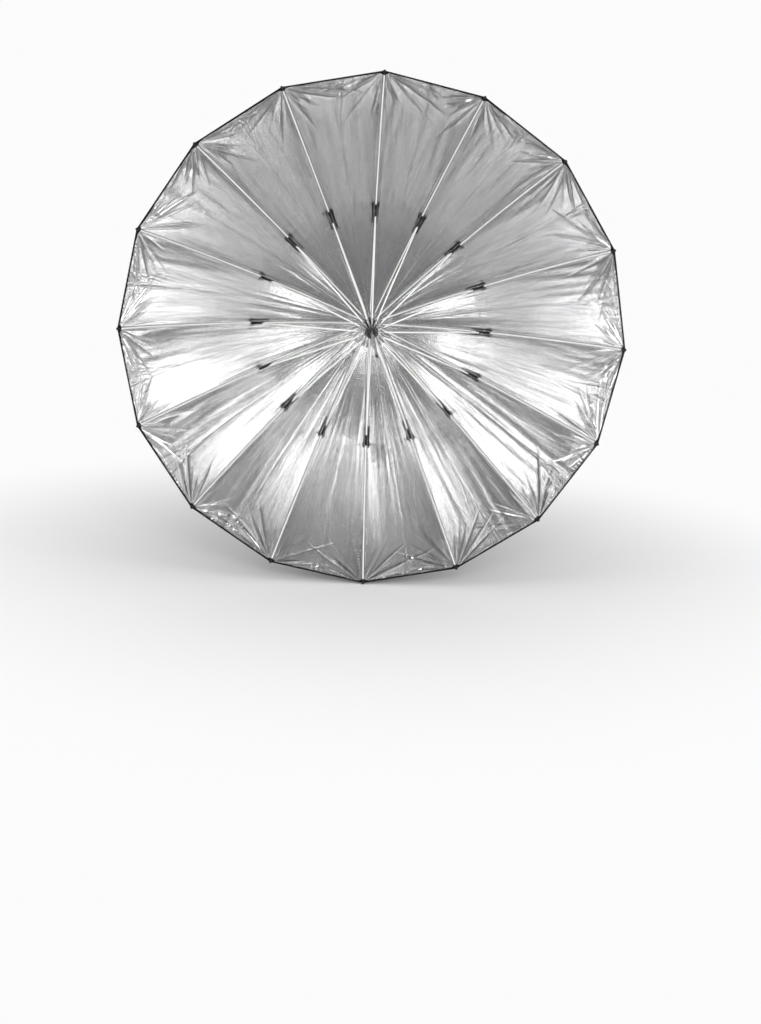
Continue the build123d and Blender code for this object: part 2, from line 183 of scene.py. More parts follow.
class Paint:
    """A material under construction: its node tree, with short calls for the nodes used here."""

    def __init__(self, name):
        self.material = bpy.data.materials.new(name)
        self.material.use_nodes = True
        self.tree = self.material.node_tree
        self.tree.nodes.clear()
        self.shader = self.tree.nodes.new("ShaderNodeBsdfPrincipled")
        output = self.tree.nodes.new("ShaderNodeOutputMaterial")
        self.tree.links.new(self.shader.outputs[0], output.inputs["Surface"])

    def plug(self, socket, value):
        """Links a socket, or sets its value."""
        if isinstance(value, bpy.types.NodeSocket):
            self.tree.links.new(value, socket)
        else:
            socket.default_value = value

    def node(self, kind, inputs=(), **settings):
        """Adds a node, with settings as its attributes and inputs as {socket: value}."""
        made = self.tree.nodes.new(kind)
        for key, value in settings.items():
            setattr(made, key, value)
        for key, value in dict(inputs).items():
            self.plug(made.inputs[key], value)
        return made

    def math(self, operation, a, b=0.0, clamp=False):
        made = self.node("ShaderNodeMath", {0: a, 1: b}, operation=operation)
        made.use_clamp = clamp
        return made.outputs[0]

    def times(self, a, b):
        return self.math("MULTIPLY", a, b)

    def wave(self, vector, scale, direction="X"):
        inputs = {"Vector": vector, "Scale": scale}
        return self.node("ShaderNodeTexWave", inputs, bands_direction=direction).outputs["Fac"]

    def coordinate(self):
        return self.node("ShaderNodeTexCoord").outputs["Object"]

    def uv(self, layer):
        """The two numbers of a UV layer."""
        uv = self.node("ShaderNodeUVMap", uv_map=layer).outputs[0]
        parts = self.node("ShaderNodeSeparateXYZ", {0: uv})
        return parts.outputs[0], parts.outputs[1]

    def vector(self, x, y, z=0.0):
        return self.node("ShaderNodeCombineXYZ", {0: x, 1: y, 2: z}).outputs[0]

    def noise(self, vector, scale, detail=3.0, roughness=0.5):
        inputs = {"Vector": vector, "Scale": scale, "Detail": detail, "Roughness": roughness}
        return self.node("ShaderNodeTexNoise", inputs).outputs["Fac"]

    def ramp(self, value, low, high, out_low=0.0, out_high=1.0, kind="SMOOTHSTEP"):
        inputs = {
            "Value": value,
            "From Min": low,
            "From Max": high,
            "To Min": out_low,
            "To Max": out_high,
        }
        return self.node("ShaderNodeMapRange", inputs, interpolation_type=kind).outputs[0]

    def line(self, value, centre, core, edge):
        """1 where value is within core of centre, and 0 beyond edge from it."""
        distance = self.math("ABSOLUTE", self.math("SUBTRACT", value, centre))
        return self.ramp(distance, core, edge, 1.0, 0.0)

    def mix(self, factor, a, b):
        made = self.node("ShaderNodeMix", data_type="RGBA")
        self.plug(made.inputs[0], factor)
        self.plug(made.inputs[6], a)
        self.plug(made.inputs[7], b)
        return made.outputs[2]

    def bump(self, height, strength, distance, normal=None):
        inputs = {"Height": height, "Strength": strength, "Distance": distance}
        if normal is not None:
            inputs["Normal"] = normal
        return self.node("ShaderNodeBump", inputs).outputs[0]

    def finish(self, **inputs):
        for key, value in inputs.items():
            self.plug(self.shader.inputs[key.replace("_", " ")], value)
        return self.material


def grey(value, warmth=0.0):
    """A near-neutral colour; warmth above 0 leans to yellow."""
    return (value * (1 + warmth), value, value * (1 - 2 * warmth), 1.0)


def stitch_line(paint, value, centre, along):
    """A row of stitches where value is near centre, broken up by the distance along it."""
    row = paint.line(value, centre, 0.25 * MM, 0.6 * MM)
    step = paint.math("PINGPONG", along, STITCH_LENGTH)
    return paint.times(row, paint.ramp(step, 0.3 * MM, 0.7 * MM))


def silver_fabric():
    """The inside: a satin metal coating on thin cloth, with grain, tension streaks, seams and creases; the
    mid-gore crease also carries a painted highlight, a near-white line in the colour.
    """
    paint = Paint("silver_fabric")
    across, from_middle = paint.uv("Across")
    along, from_hem = paint.uv("Along")
    streak_place = paint.vector(paint.times(across, 150.0), paint.times(along, 4.0))
    streaks = paint.noise(streak_place, 1.0, 4.0, 0.6)
    grain = paint.noise(paint.coordinate(), 700.0, 2.0, 0.6)
    speckle = paint.noise(paint.coordinate(), 260.0, 4.0, 0.7)
    crumple = paint.noise(paint.coordinate(), 42.0, 5.0, 0.6)
    near_hub = paint.ramp(along, 240 * MM, 420 * MM, 1.0, 0.0)
    # Mask of the mid-gore crease: it drives the crease's bump and a painted highlight in the colour.
    crease_and_painted_highlight = paint.line(from_middle, 0.0, 0.3 * MM, 1.5 * MM)
    distance = paint.math("ABSOLUTE", across)
    seam = paint.line(distance, SEAM_HALF, 0.0, 0.8 * MM)
    seam_stitches = stitch_line(paint, distance, STITCH_HALF, along)
    hem_stitches = stitch_line(paint, from_hem, HEM_STITCHES, across)
    stitches = paint.math("MAXIMUM", seam_stitches, hem_stitches)
    tone = paint.ramp(streaks, 0.3, 0.7, 0.0, 1.0)
    colour = paint.mix(tone, grey(0.70), (0.82, 0.82, 0.83, 1.0))
    colour = paint.mix(paint.times(grain, 0.25), colour, grey(0.58))
    spots = paint.times(paint.ramp(speckle, 0.45, 0.62), paint.times(near_hub, 0.7))
    colour = paint.mix(spots, colour, grey(0.40))
    # Painted highlight: the mid-gore crease line is coloured near white, standing in for the light it
    # catches.
    colour = paint.mix(paint.times(crease_and_painted_highlight, 0.6), colour, grey(0.95))
    colour = paint.mix(stitches, colour, grey(0.42))
    normal = paint.bump(streaks, 0.4, 1.4 * MM)
    normal = paint.bump(crumple, 0.25, 2.5 * MM, normal)
    normal = paint.bump(speckle, paint.ramp(near_hub, 0.0, 1.0, 0.12, 0.6), 0.8 * MM, normal)
    normal = paint.bump(grain, 0.25, 0.25 * MM, normal)
    relief = paint.math("ADD", crease_and_painted_highlight, paint.times(seam, 0.6))
    relief = paint.math("SUBTRACT", relief, stitches)
    normal = paint.bump(relief, 0.8, 0.6 * MM, normal)
    rough = paint.ramp(grain, 0.25, 0.75, 0.20, 0.28, "LINEAR")
    return paint.finish(Base_Color=colour, Metallic=1.0, Roughness=rough, Normal=normal)


def black_fabric():
    """The outside: matt black cloth with its weave and a little dust and wear along the seams."""
    paint = Paint("black_fabric")
    across = paint.uv("Across")[0]
    along = paint.uv("Along")[0]
    place = paint.vector(across, along)
    weave = paint.times(paint.wave(place, 330.0), paint.wave(place, 330.0, "Y"))
    cloud = paint.noise(paint.coordinate(), 9.0, 5.0, 0.6)
    streak_place = paint.vector(paint.times(across, 110.0), paint.times(along, 6.0))
    streaks = paint.noise(streak_place, 1.0, 4.0, 0.6)
    lint = paint.ramp(paint.noise(paint.coordinate(), 420.0, 2.0, 0.7), 0.68, 0.8)
    distance = paint.math("ABSOLUTE", across)
    rub = paint.ramp(distance, 0.0, 4 * MM, 1.0, 0.0)
    seam = paint.line(distance, SEAM_HALF, 0.0, 0.9 * MM)
    colour = paint.mix(cloud, grey(0.012), grey(0.021))
    colour = paint.mix(paint.times(weave, 0.4), colour, grey(0.035))
    colour = paint.mix(paint.times(rub, 0.35), colour, grey(0.05, 0.02))
    colour = paint.mix(paint.times(lint, 0.3), colour, grey(0.10, 0.03))
    normal = paint.bump(weave, 0.5, 0.25 * MM)
    normal = paint.bump(streaks, 0.3, 1.5 * MM, normal)
    normal = paint.bump(seam, 0.7, 0.5 * MM, normal)
    rough = paint.ramp(cloud, 0.2, 0.8, 0.5, 0.68, "LINEAR")
    inputs = {"Base_Color": colour, "Roughness": rough, "Normal": normal}
    return paint.finish(Sheen_Weight=0.25, Sheen_Roughness=0.5, **inputs)


def binding_tape():
    """The woven black tape folded over the hem, ribbed across its length."""
    paint = Paint("binding_tape")
    across = paint.uv("Across")[0]
    ribs = paint.wave(paint.vector(across, 0.0), 260.0)
    cloud = paint.noise(paint.coordinate(), 60.0, 4.0, 0.6)
    colour = paint.mix(cloud, grey(0.003), grey(0.006))
    colour = paint.mix(paint.times(ribs, 0.3), colour, grey(0.012))
    normal = paint.bump(ribs, 0.6, 0.3 * MM)
    return paint.finish(Base_Color=colour, Roughness=0.75, Normal=normal, Specular_IOR_Level=0.3)


def fibreglass():
    """Warm white resin over lengthwise glass fibres, slightly yellowed and scuffed."""
    paint = Paint("fibreglass")
    around, along = paint.uv("Along")
    place = paint.vector(paint.times(around, 2200.0), paint.times(along, 40.0))
    fibres = paint.noise(place, 1.0, 3.0, 0.6)
    stain = paint.noise(paint.coordinate(), 14.0, 4.0, 0.6)
    scuff = paint.ramp(paint.noise(paint.coordinate(), 160.0, 3.0, 0.7), 0.6, 0.72)
    colour = paint.mix(stain, (0.93, 0.93, 0.915, 1.0), (0.90, 0.895, 0.865, 1.0))
    colour = paint.mix(paint.times(fibres, 0.35), colour, (0.96, 0.96, 0.95, 1.0))
    colour = paint.mix(paint.times(scuff, 0.2), colour, grey(0.5))
    normal = paint.bump(fibres, 0.3, 0.2 * MM)
    rough = paint.ramp(fibres, 0.3, 0.7, 0.25, 0.42, "LINEAR")
    inputs = {"Base_Color": colour, "Roughness": rough, "Normal": normal}
    return paint.finish(Coat_Weight=0.3, Coat_Roughness=0.2, **inputs)


def moulded_plastic(name, low=0.010, high=0.022):
    """Black moulded plastic: fine spark texture, cloudy sheen and paler rubbed spots."""
    paint = Paint(name)
    spark = paint.noise(paint.coordinate(), 2400.0, 2.0, 0.6)
    cloud = paint.noise(paint.coordinate(), 70.0, 4.0, 0.6)
    rub = paint.ramp(paint.noise(paint.coordinate(), 260.0, 3.0, 0.7), 0.62, 0.75)
    colour = paint.mix(cloud, grey(low), grey(high))
    colour = paint.mix(paint.times(rub, 0.25), colour, grey(0.07))
    normal = paint.bump(spark, 0.35, 0.12 * MM)
    rough = paint.ramp(cloud, 0.25, 0.75, 0.30, 0.5, "LINEAR")
    return paint.finish(Base_Color=colour, Roughness=rough, Normal=normal)


def plated_steel(name, base, stretch, rough_low, rough_high):
    """Bright steel with fine marks drawn out along the shaft and small dull spots."""
    paint = Paint(name)
    parts = paint.node("ShaderNodeSeparateXYZ", {0: paint.coordinate()})
    place = paint.vector(
        parts.outputs[0], paint.times(parts.outputs[1], stretch), parts.outputs[2]
    )
    drawn = paint.noise(place, 900.0, 3.0, 0.6)
    spots = paint.ramp(paint.noise(paint.coordinate(), 120.0, 4.0, 0.65), 0.58, 0.72)
    colour = paint.mix(drawn, grey(base * 0.9), grey(base))
    colour = paint.mix(paint.times(spots, 0.3), colour, grey(base * 0.6, 0.03))
    normal = paint.bump(drawn, 0.15, 0.1 * MM)
    rough = paint.ramp(drawn, 0.3, 0.7, rough_low, rough_high, "LINEAR")
    rough = paint.math("ADD", rough, paint.times(spots, 0.12))
    return paint.finish(Base_Color=colour, Metallic=1.0, Roughness=rough, Normal=normal)


def thread():
    """White twisted thread."""
    paint = Paint("thread")
    twist = paint.wave(paint.coordinate(), 400.0, "DIAGONAL")
    colour = paint.mix(twist, grey(0.55), grey(0.85))
    normal = paint.bump(twist, 0.8, 0.3 * MM)
    return paint.finish(Base_Color=colour, Roughness=0.7, Normal=normal, Sheen_Weight=0.3)


SILVER = silver_fabric()
BLACK_CLOTH = black_fabric()
BINDING = binding_tape()
FIBREGLASS = fibreglass()
PLASTIC = moulded_plastic("moulded_plastic")
SOFT_PLASTIC = moulded_plastic("tip_plastic", 0.006, 0.014)
TUBE_STEEL = plated_steel("tube_steel", 0.72, 0.04, 0.16, 0.26)
WIRE_STEEL = plated_steel("wire_steel", 0.62, 0.3, 0.22, 0.36)
THREAD = thread()


# Rods, plates and caps, drawn once in arm coordinates and set on every arm


def ring_faces(rings, sides):
    """Quads between rings of points, and a face over each end."""
    faces = []
    for row in range(rings - 1):
        for side in range(sides):
            a, b = row * sides + side, row * sides + (side + 1) % sides
            faces.append([a, b, b + sides, a + sides])
    faces.append(list(range(sides))[::-1])
    faces.append([(rings - 1) * sides + side for side in range(sides)])
    return faces


class Shape:
    """Closed skins in arm coordinates, with (around, along) for every point."""

    def __init__(self):
        self.points = []
        self.faces = []
        self.uvs = []

    def add(self, points, faces, uvs):
        first = len(self.points)
        self.points.extend(points)
        self.uvs.extend(uvs)
        self.faces.extend([[first + i for i in face] for face in faces])

    def bar(self, path, radii, sides):
        """A round bar along path, a list of (r, d), with its radius at each point and closed ends."""
        path, radii = np.asarray(path, float), np.asarray(radii, float)
        tangent = np.gradient(path, axis=0)
        tangent /= np.linalg.norm(tangent, axis=1)[:, None]
        travel = np.concatenate([[0], np.cumsum(np.linalg.norm(np.diff(path, axis=0), axis=1))])
        points, uvs = [], []
        for here, ahead, radius, s in zip(path, tangent, radii, travel):
            for side in range(sides):
                a = 2 * math.pi * side / sides
                lift = radius * math.cos(a)
                aside = radius * math.sin(a)
                points.append([here[0] - ahead[1] * lift, here[1] + ahead[0] * lift, aside])
                uvs.append([radius * a, s])
        self.add(points, ring_faces(len(path), sides), uvs)

    def plate(self, outline, t_low, t_high, edge):
        """A flat plate with softened edges; outline is a list of (r, d) round a convex shape."""
        outline = np.asarray(outline, float)
        before, after = np.roll(outline, 1, axis=0), np.roll(outline, -1, axis=0)
        along = after - before
        along /= np.linalg.norm(along, axis=1)[:, None]
        inward = np.stack([-along[:, 1], along[:, 0]], axis=1)
        centre = outline.mean(axis=0)
        if np.sum(inward * (centre - outline)) < 0:
            inward = -inward
        small = outline + inward * edge
        rings = [(small, t_low), (outline, t_low + edge), (outline, t_high - edge), (small, t_high)]
        points = [[p[0], p[1], t] for ring, t in rings for p in ring]
        self.add(points, ring_faces(len(rings), len(outline)), [[p[0], p[2]] for p in points])

    def pin(self, centre, half_length, radius, head_radius, head_height, sides=16):
        """A headed pin lying sideways through centre, with domed heads."""
        profile = [
            (-half_length - head_height, 0.35 * head_radius),
            (-half_length - 0.8 * head_height, 0.75 * head_radius),
            (-half_length - 0.4 * head_height, head_radius),
            (-half_length, head_radius),
            (-half_length, radius),
        ]
        profile += [(-t, radius) for t, radius in reversed(profile)]
        points, uvs = [], []
        for t, ring_r in profile:
            for side in range(sides):
                a = 2 * math.pi * side / sides
                points.append([centre[0] + ring_r * math.cos(a), centre[1] + ring_r * math.sin(a), t])
                uvs.append([ring_r * a, t])
        self.add(points, ring_faces(len(profile), sides), uvs)

    def piece(self, name, arm, material, sharp=40.0):
        """The object for one arm, with sharp edges where its faces turn by more than sharp degrees."""
        mesh = bpy.data.meshes.new(name)
        mesh.from_pydata([tuple(p) for p in to_world(self.points, arm)], [], self.faces)
        layer = mesh.uv_layers.new(name="Along")
        corners = np.zeros(len(mesh.loops), int)
        mesh.loops.foreach_get("vertex_index", corners)
        layer.data.foreach_set("uv", np.asarray(self.uvs, np.float32)[corners].ravel())
        mesh.polygons.foreach_set("use_smooth", [True] * len(mesh.polygons))
        mesh.set_sharp_from_angle(angle=math.radians(sharp))
        mesh.materials.append(material)
        made = bpy.data.objects.new(name, mesh)
        bpy.context.scene.collection.objects.link(made)
        return made


def direction(heading):
    return np.array([math.cos(heading), math.sin(heading)])


def offset_point(point, heading, ahead, inward):
    """A point moved along a heading, and at right angles to it towards the front of the canopy."""
    u = direction(heading)
    return point + ahead * u + inward * np.array([-u[1], u[0]])


def stadium(centre, heading, back, ahead, half_width, steps=9):
    """Outline of a strap with round ends, from back behind centre to ahead in front of it."""
    outline = []
    for end, start_angle in ((ahead, -math.pi / 2), (-back, math.pi / 2)):
        hub = offset_point(centre, heading, end, 0)
        for i in range(steps):
            a = heading + start_angle + math.pi * i / (steps - 1)
            outline.append(hub + half_width * direction(a))
    return outline


def along_rib_at(places):
    """Points (r, d) on the rib's centre line."""
    return np.stack(rib_line(places)[:2], axis=1)


STRETCHER_HEADING = math.atan2(RUNNER_HINGE[1] - CLIP_PIVOT[1], RUNNER_HINGE[0] - CLIP_PIVOT[0])
STRETCHER_LENGTH = float(np.linalg.norm(RUNNER_HINGE - CLIP_PIVOT))
SLEEVE_LENGTH = 46 * MM
CHEEK_LENGTH = 68 * MM
CHEEK_FACES = (2.4 * MM, 3.8 * MM)
CHEEK_OUTSIDE = 1.2 * MM
CHEEK_INSIDE = 3.4 * MM
LUG_SETBACK = 14 * MM
LUG_BASE = 9 * MM
LUG_R = 2.8 * MM
KNUCKLE_END = 13 * MM
KNUCKLE_R = 2.8 * MM
KNUCKLE_HALF = 2.3 * MM
EYE_REACH = 11 * MM
EYE_HALF = 0.75 * MM
FERRULE_STOPS = np.array([8, 8.6, 10, 12, 12.5, 14, 14.5, 22, 23.4, 24]) * MM
FERRULE_RADII = np.array([2.1, 2.5, 2.6, 2.6, 2.3, 2.3, 2.6, 2.6, 2.5, 2.1]) * MM
CLIP_END = FLEX_S - 0.3 * MM
TIE_PLACE = 0.78


def rib_rod():
    shape = Shape()
    path = along_rib_at(np.linspace(9 * MM, RIB_END_S - 4 * MM, 120))
    shape.bar(path, [ROD_R] * len(path), 14)
    return shape


def beside_rib(s, inward):
    """Points (r, d) at distances s along the rib, moved towards the inside of the bowl."""
    r, d, heading = rib_line(s)
    return np.stack([r - inward * np.sin(heading), d + inward * np.cos(heading)], axis=-1)


def cheek_outline():
    """Side view of a clip's cheek: a long strip along the rib, raised to a round lug at the rivet."""
    end = CLIP_END
    start = end - CHEEK_LENGTH
    foot = FLEX_S - LUG_SETBACK
    outline = list(beside_rib(np.linspace(start + 1 * MM, end - 1 * MM, 12), -CHEEK_OUTSIDE))
    outline += list(beside_rib(np.array([end, end]), np.array([-0.4, 2.6]) * MM))
    outline += list(beside_rib(np.array([end - 1 * MM, foot + LUG_BASE]), CHEEK_INSIDE))
    heading = float(rib_line(foot)[2])
    for i in range(9):
        outline.append(CLIP_PIVOT + LUG_R * direction(heading + math.radians(25 + 130 * i / 8)))
    outline += list(beside_rib(np.linspace(foot - LUG_BASE, start + 1 * MM, 7), CHEEK_INSIDE))
    outline += list(beside_rib(np.array([start, start]), np.array([2.6, -0.4]) * MM))
    return outline


def rib_clip():
    """The sleeve the rib is pushed into and the two long cheeks beside it, which carry the stretcher."""
    shape = Shape()
    stops = [0, 0.02, 0.06, 0.08, 0.1, 0.5, 0.9, 0.92, 0.94, 0.98, 1]
    radii = [2.1, 2.9, 3.0, 2.7, 2.95, 3.0, 2.95, 2.7, 3.0, 2.9, 2.3]
    places = [CLIP_END + SLEEVE_LENGTH * (s - 1) for s in stops]
    shape.bar(along_rib_at(places), np.array(radii) * MM, 20)
    for t_low, t_high in (CHEEK_FACES, (-CHEEK_FACES[1], -CHEEK_FACES[0])):
        shape.plate(cheek_outline(), t_low, t_high, 0.35 * MM)
    return shape


def flat_eye(centre, heading):
    """A flat strap round a hinge's wire, reaching back along heading into its ferrule."""
    shape = Shape()
    shape.plate(stadium(centre, heading, 0, EYE_REACH, EYE_R), -EYE_HALF, EYE_HALF, 0.2 * MM)
    return shape


def rib_eye():
    """The hinge eye at the crown and the ferrule that holds the rib."""
    shape = flat_eye(CROWN_HINGE, HEADING_AT_CROWN)
    shape.bar(along_rib_at(FERRULE_STOPS), FERRULE_RADII, 18)
    return shape


def rib_tip_cap():
    """The moulded cap with its round end, and the notch ring that the fabric's corner hooks over."""
    shape = Shape()
    stops = np.array([-12, -11.4, -10, -7.2, -6.6, -5, -4.4, -2.5, -1.2, 0.5, 2.2, 3.3, 3.8, 4.0]) * MM
    radii = np.array([2.3, 2.9, 3.2, 3.2, 2.6, 2.6, 3.2, 3.3, 3.75, 3.95, 3.4, 2.3, 1.2, 0.2]) * MM
    path = [offset_point(RIB_TIP, OUTER_BEND.end_heading, s, 0) for s in stops]
    shape.bar(path, radii, 20)
    return shape


def stretcher_rod():
    shape = Shape()
    start, end = KNUCKLE_END, STRETCHER_LENGTH - 9 * MM
    path = [offset_point(CLIP_PIVOT, STRETCHER_HEADING, s, 0) for s in np.linspace(start, end, 40)]
    shape.bar(path, [ROD_R] * len(path), 14)
    return shape


def stretcher_knuckle():
    """The block that turns between the clip's cheeks, with the socket of the rod."""
    shape = Shape()
    block = stadium(CLIP_PIVOT, STRETCHER_HEADING, 0, KNUCKLE_END - KNUCKLE_R, KNUCKLE_R)
    shape.plate(block, -KNUCKLE_HALF, KNUCKLE_HALF, 0.4 * MM)
    stops = np.array([12, 12.6, 14, 15, 15.5, 16.5, 17, 19, 19.6, 20]) * MM
    radii = np.array([2.2, 2.6, 2.6, 2.6, 2.35, 2.35, 2.6, 2.6, 2.4, 2.1]) * MM
    path = [offset_point(CLIP_PIVOT, STRETCHER_HEADING, s, 0) for s in stops]
    shape.bar(path, radii, 20)
    return shape


def stretcher_eye():
    """The hinge eye at the runner and its ferrule."""
    back = STRETCHER_HEADING + math.pi
    shape = flat_eye(RUNNER_HINGE, back)
    path = [offset_point(RUNNER_HINGE, back, s, 0) for s in FERRULE_STOPS]
    shape.bar(path, FERRULE_RADII, 18)
    return shape


def knuckle_rivet():
    """The rivet through both cheeks, with its domed heads."""
    shape = Shape()
    shape.pin(CLIP_PIVOT, CHEEK_FACES[1], 1.2 * MM, 2.0 * MM, 0.5 * MM)
    return shape


def tie_wrap():
    """Three turns of thread that hold the fabric to the rib."""
    shape = Shape()
    place = FLEX_S + (RIB_END_S - FLEX_S) * (2 * TIE_PLACE - 1)
    stops = np.array([-2.2, -2.0, -1.5, -1.0, -0.75, -0.5, 0, 0.5, 0.75, 1.0, 1.5, 2.0, 2.2]) * MM
    radii = np.array([2.0, 2.5, 2.8, 2.5, 2.3, 2.5, 2.8, 2.5, 2.3, 2.5, 2.8, 2.5, 2.0]) * MM
    shape.bar(along_rib_at(place + stops), radii, 16)
    return shape


def bend_at_flex(piece):
    """Bakes the placement of a piece that runs past the clip's mouth into its mesh; it rides on neither half
    of its rib.
    """
    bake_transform(piece)


def build_arms():
    """Every rod and fitting; all but the rib rods ride on the body they belong to."""
    rod, clip, eye, cap, tie = rib_rod(), rib_clip(), rib_eye(), rib_tip_cap(), tie_wrap()
    strut, knuckle, foot_eye, rivet = stretcher_rod(), stretcher_knuckle(), stretcher_eye(), knuckle_rivet()
    for arm in range(ARM_COUNT):
        tag = f"{arm + 1:02d}"
        inner, outer, stretcher = f"rib_inner_{tag}", f"rib_outer_{tag}", f"stretcher_{tag}"
        piece = rod.piece(f"rib_rod_{tag}", arm, FIBREGLASS)
        bend_at_flex(piece)
        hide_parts(inner, outer)
        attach(clip.piece(f"rib_clip_{tag}", arm, PLASTIC), inner)
        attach(eye.piece(f"rib_eye_{tag}", arm, WIRE_STEEL), inner)
        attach(cap.piece(f"rib_tip_{tag}", arm, SOFT_PLASTIC), outer)
        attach(tie.piece(f"rib_tie_{tag}", arm, THREAD), outer)
        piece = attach(strut.piece(f"stretcher_rod_{tag}", arm, FIBREGLASS), stretcher)
        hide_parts(stretcher)
        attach(knuckle.piece(f"stretcher_knuckle_{tag}", arm, PLASTIC), stretcher)
        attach(foot_eye.piece(f"stretcher_eye_{tag}", arm, WIRE_STEEL), stretcher)
        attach(rivet.piece(f"stretcher_rivet_{tag}", arm, WIRE_STEEL), stretcher)


# The canopy: sixteen gores sewn along the ribs


def cloth_profile(s):
    """(r, d, heading) of the fabric over a rib: flat under the crown washer, then close against the rib."""
    s = np.asarray(s, float)
    r, d, heading = rib_line(np.maximum(s, 0))
    on_rib_r = r + CLOTH_STANDOFF * np.sin(heading) + np.minimum(s, 0)
    on_rib_d = d - CLOTH_STANDOFF * np.cos(heading)
    share = smooth((s - CLOTH_FLAT_END) / (CLOTH_ON_RIB - CLOTH_FLAT_END))
    flat_r = CROWN_HINGE[0] + s
    return (
        flat_r + (on_rib_r - flat_r) * share,
        CLOTH_FLAT_D + (on_rib_d - CLOTH_FLAT_D) * share,
        heading * share,
    )


def lattice_noise(rng, x, y, scale_x, scale_y):
    """Smooth random hills between -1 and 1 over the plane (x, y), each about one scale wide."""
    u, v = x / scale_x, y / scale_y
    i, j = np.floor(u).astype(int), np.floor(v).astype(int)
    table = rng.uniform(-1, 1, (64, 64))
    fu, fv = smooth(u - i), smooth(v - j)
    corner = [[table[(i + a) % 64, (j + b) % 64] for b in (0, 1)] for a in (0, 1)]
    low = corner[0][0] * (1 - fu) + corner[1][0] * fu
    high = corner[0][1] * (1 - fu) + corner[1][1] * fu
    return low * (1 - fv) + high * fv


RIM_HALF = float(cloth_profile(CLOTH_END)[0]) * math.sin(HALF_GORE)


def ridge(off):
    """A rounded crest, 1 high at 0 and about 1 wide to each side."""
    return np.exp(-1.7 * (np.sqrt(off * off + 0.05) - 0.22))


def fan_folds(rng, aside, inward):
    """Pointed folds that spread from a rib tip. aside is measured along the hem, inward away from it."""
    reach = np.hypot(aside, inward) + 1e-9
    angle = np.arctan2(aside, inward)
    relief = np.zeros_like(reach)
    count = rng.integers(7, 10)
    starts = np.linspace(math.radians(7), math.radians(80), count) + rng.uniform(-0.06, 0.06, count)
    for number, centre in enumerate(starts):
        length = rng.uniform(95, 235) * MM
        height = rng.uniform(1.2, 3.0) * MM * (1 if number % 2 else -1)
        bow = rng.uniform(-0.6, 0.6)
        share = np.clip(reach / length, 0, 1)
        swell = np.sin(math.pi * share ** 0.75)
        width = (1.2 + rng.uniform(2.5, 5.0) * swell) * MM
        off = (angle - centre - bow * reach) * reach
        relief += height * swell * ridge(off / width)
    return relief


def gore_relief(gore, s, v):
    """How far the fabric of one gore stands out from its drawn surface, at distance s and share v across."""
    rng = np.random.default_rng(1000 + gore)
    half = half_gore(s)
    x = (2 * v - 1) * half
    y = CLOTH_END - s
    from_rib = half - np.abs(x)
    spread = smooth(s / (300 * MM)) * smooth(y / (180 * MM) + 0.15)
    relief = -spread * 4.5 * MM * 4 * v * (1 - v)
    relief += fan_folds(rng, RIM_HALF + x, y) + fan_folds(rng, RIM_HALF - x, y)
    streak = lattice_noise(rng, x + 5, s, 15 * MM, 330 * MM)
    streak = streak + 0.7 * lattice_noise(rng, v * 2 + 3, s, 0.12, 400 * MM)
    relief += 0.75 * MM * streak * smooth(s / (200 * MM))
    relief += 1.1 * MM * lattice_noise(rng, x + 5, s, 60 * MM, 110 * MM) * smooth(s / (250 * MM))
    for side in (-1, 0, 1):
        reach = rng.uniform(110, 220) * MM
        foot = (side * rng.uniform(9, 24) + rng.uniform(-4, 4)) * MM
        line = foot * np.clip(1 - y / reach, 0, 1)
        fade = 1 - smooth(y / (reach * 1.2))
        relief += rng.choice([-1, 1]) * rng.uniform(0.8, 1.5) * MM * fade * ridge((x - line) / (2.4 * MM))
    depth = rng.uniform(0.8, 1.4) * MM
    pucker = np.sin(2 * math.pi * (y + 0.9 * np.abs(x)) / (8.5 * MM) + rng.uniform(0, 6))
    patch = np.exp(-((x / (30 * MM)) ** 2)) * np.exp(-(((y - 24 * MM) / (26 * MM)) ** 2))
    relief += depth * pucker * patch * (0.5 + 0.5 * lattice_noise(rng, x + 5, y + 1, 14 * MM, 18 * MM))
    relief += 1.1 * MM * ridge(x / (1.4 * MM)) * smooth(s / (60 * MM))
    second = (5 + 3 * np.sin(s * 9)) * MM * rng.choice([-1, 1])
    relief += 0.6 * MM * ridge((x - second) / (1.6 * MM)) * smooth((s - 120 * MM) / (200 * MM))
    calm = smooth((from_rib - BAND_HALF) / (7 * MM)) * smooth(y / (7 * MM))
    calm = calm * smooth((s - CROWN_PATCH_END) / (60 * MM))
    relief = relief * calm
    ripple = np.cos(2 * math.pi * x / (11 * MM) + 2 * lattice_noise(rng, x + 5, y + 1, 30 * MM, 30 * MM))
    gather = 0.35 + 0.65 * np.clip(lattice_noise(rng, x + 5, y * 0 + 1, 45 * MM, 1.0) + 0.4, 0, 1)
    near_hem = np.exp(-y / (11 * MM)) * smooth((from_rib - BAND_HALF) / (20 * MM))
    return relief + 0.5 * MM * ripple * gather * near_hem


def bare_surface(gore, s, v):
    """Points and outward directions of the gore as drawn: straight across between its two ribs."""
    r, d, heading = cloth_profile(s)
    point, outward = 0, 0
    for arm, share in ((gore, 1 - v), (gore + 1, v)):
        zero = np.zeros_like(r)
        here = to_world(np.stack([r, d, zero], axis=-1), arm)
        base = to_world(np.stack([zero, zero, zero], axis=-1), arm)
        lean = to_world(np.stack([np.sin(heading), -np.cos(heading), zero], axis=-1), arm) - base
        point = point + here * share[..., None]
        outward = outward + lean * share[..., None]
    outward = outward / np.linalg.norm(outward, axis=-1, keepdims=True)
    return point, outward


def relieved_surface(gore, s, v):
    point, outward = bare_surface(gore, s, v)
    return point + outward * gore_relief(gore, s, v)[..., None]


